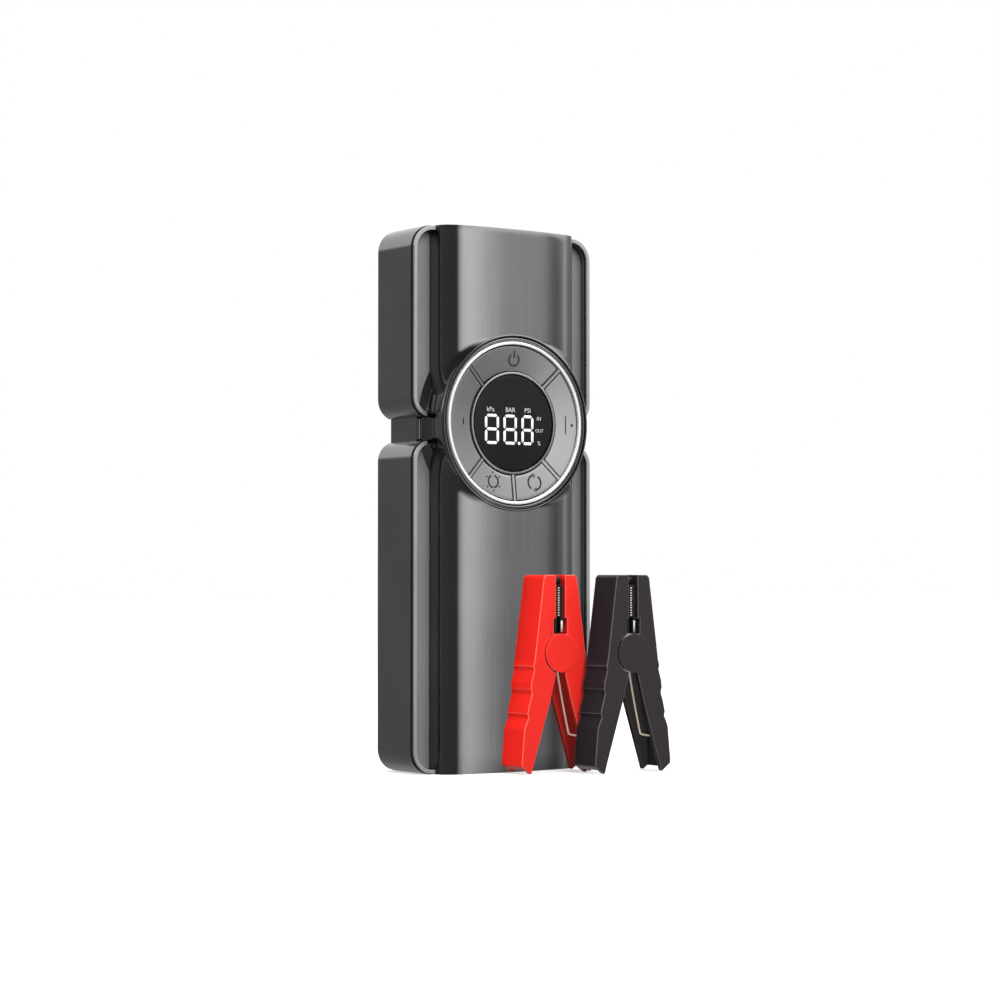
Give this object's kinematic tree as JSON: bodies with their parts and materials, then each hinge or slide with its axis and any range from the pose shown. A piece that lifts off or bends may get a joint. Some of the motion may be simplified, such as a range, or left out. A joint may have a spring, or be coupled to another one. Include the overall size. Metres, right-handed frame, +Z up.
{
  "type": "jump starter pack",
  "caption": "Upright car jump starter with a built-in tyre pump, a round dial of buttons round a display, and a red and a black spring battery clamp.",
  "frame": {"origin": "middle of the pack's flat base, on the surface it stands on", "axes": "+Z up the pack, +X to the pack's right seen from its front, -Y out of the dial, towards the user"},
  "size_m": [0.0942, 0.0742, 0.21],
  "materials": {
    "shell_paint": "satin metallic dark grey coat",
    "panel_metal": "fine vertical brushing, dark titanium grey",
    "bezel_chrome": "bright polished",
    "button_metal": "satin, turned grain",
    "dark_plastic": "fine grain",
    "display_glass": "smoked, glossy",
    "lamp_glass": "clear, fluted inside",
    "circuit_board": "solder mask",
    "cell_foil": "matt foil",
    "steel": "bright nickel plate",
    "pump_alloy": "die cast",
    "brass": "machined",
    "seal_rubber": "smooth",
    "clamp_red": "satin moulded red",
    "clamp_black": "satin moulded black"
  },
  "bodies": {
    "pack": {"core_frame": "shell_paint", "front_fascia": "panel_metal", "rear_cover": "shell_paint", "guard_upper_left": "shell_paint", "guard_lower_left": "shell_paint", "guard_upper_right": "shell_paint", "guard_lower_right": "shell_paint", "rear_screw_1": "steel", "rear_screw_2": "steel", "rear_screw_3": "steel", "rear_screw_4": "steel", "dial_housing": "shell_paint", "dial_bezel_ring": "bezel_chrome", "button_carrier": "dark_plastic", "display_lens": "display_glass", "display_module": "dark_plastic", "dome_sheet": "steel", "control_board": "circuit_board", "battery_cell_1": "cell_foil", "battery_cell_2": "cell_foil", "battery_cell_3": "cell_foil", "main_board": "circuit_board", "jump_socket": "dark_plastic", "usb_a_socket": "steel", "usb_c_socket": "steel", "port_cover_pin": "steel", "lamp_lens": "lamp_glass", "lamp_reflector": "bezel_chrome", "lamp_board": "circuit_board", "motor_can": "steel", "crank_axle": "steel", "pump_cylinder": "pump_alloy", "pump_bracket": "steel", "outlet_tube": "seal_rubber", "air_outlet": "brass"},
    "button_power_body": {"button_power": "button_metal"},
    "button_plus_body": {"button_plus": "button_metal"},
    "button_minus_body": {"button_minus": "button_metal"},
    "button_lamp_body": {"button_lamp": "button_metal"},
    "button_mode_body": {"button_mode": "button_metal"},
    "port_cover_body": {"port_cover": "dark_plastic"},
    "crank_body": {"crank_gear": "brass"},
    "rotor_body": {"motor_shaft": "steel", "pinion_gear": "brass", "cooling_fan": "dark_plastic"},
    "piston_body": {"piston_rod": "pump_alloy", "piston_seal": "seal_rubber"},
    "red_clamp_body": {"red_clamp_fixed_lever": "clamp_red", "red_clamp_fixed_jaw_plate": "steel", "red_clamp_pivot_pin": "steel", "red_clamp_spring": "steel"},
    "red_lever_body": {"red_clamp_moving_lever": "clamp_red", "red_clamp_moving_jaw_plate": "steel"},
    "black_clamp_body": {"black_clamp_fixed_lever": "clamp_black", "black_clamp_fixed_jaw_plate": "steel", "black_clamp_pivot_pin": "steel", "black_clamp_spring": "steel"},
    "black_lever_body": {"black_clamp_moving_lever": "clamp_black", "black_clamp_moving_jaw_plate": "steel"}
  },
  "joints": [
    {"name": "press_power", "type": "slide", "parent": "pack", "child": "button_power_body", "axis": [0, 1, 0], "range_m": [0, 0.0006], "stiffness_N_per_m": 900},
    {"name": "press_plus", "type": "slide", "parent": "pack", "child": "button_plus_body", "axis": [0, 1, 0], "range_m": [0, 0.0006], "stiffness_N_per_m": 900},
    {"name": "press_minus", "type": "slide", "parent": "pack", "child": "button_minus_body", "axis": [0, 1, 0], "range_m": [0, 0.0006], "stiffness_N_per_m": 900},
    {"name": "press_lamp", "type": "slide", "parent": "pack", "child": "button_lamp_body", "axis": [0, 1, 0], "range_m": [0, 0.0006], "stiffness_N_per_m": 900},
    {"name": "press_mode", "type": "slide", "parent": "pack", "child": "button_mode_body", "axis": [0, 1, 0], "range_m": [0, 0.0006], "stiffness_N_per_m": 900},
    {"name": "port_cover_hinge", "type": "hinge", "parent": "pack", "child": "port_cover_body", "pos_m": [0.041, 0.008, 0.066], "axis": [0, 0, 1], "range_deg": [0, 110]},
    {"name": "crank_spin", "type": "hinge", "parent": "pack", "child": "crank_body", "pos_m": [0.002, 0.006, 0.173], "axis": [1, 0, 0], "continuous": true},
    {"name": "rotor_spin", "type": "hinge", "parent": "pack", "child": "rotor_body", "pos_m": [0.002, -0.00208, 0.18593], "axis": [1, 0, 0], "continuous": true},
    {"name": "piston_stroke", "type": "slide", "parent": "pack", "child": "piston_body", "axis": [0, 0, 1], "range_m": [0, 0.008]},
    {"name": "red_clamp_lift", "type": "slide", "parent": "pack", "child": "red_clamp_body", "axis": [0, 0, 1], "range_m": [0, 0.06]},
    {"name": "red_clamp_squeeze", "type": "hinge", "parent": "red_clamp_body", "child": "red_lever_body", "pos_m": [0.0102, -0.0298, 0.046], "axis": [0, 1, 0], "range_deg": [0, 26], "stiffness_Nm_per_rad": 0.15, "deforming": ["red_clamp_spring"]},
    {"name": "black_clamp_lift", "type": "slide", "parent": "pack", "child": "black_clamp_body", "axis": [0, 0, 1], "range_m": [0, 0.06]},
    {"name": "black_clamp_squeeze", "type": "hinge", "parent": "black_clamp_body", "child": "black_lever_body", "pos_m": [0.0336, -0.045, 0.046], "axis": [0, 1, 0], "range_deg": [0, 26], "stiffness_Nm_per_rad": 0.15, "deforming": ["black_clamp_spring"]}
  ],
  "couplings": [
    {"joint": "rotor_spin", "follows": "crank_spin", "ratio": -5}
  ]
}
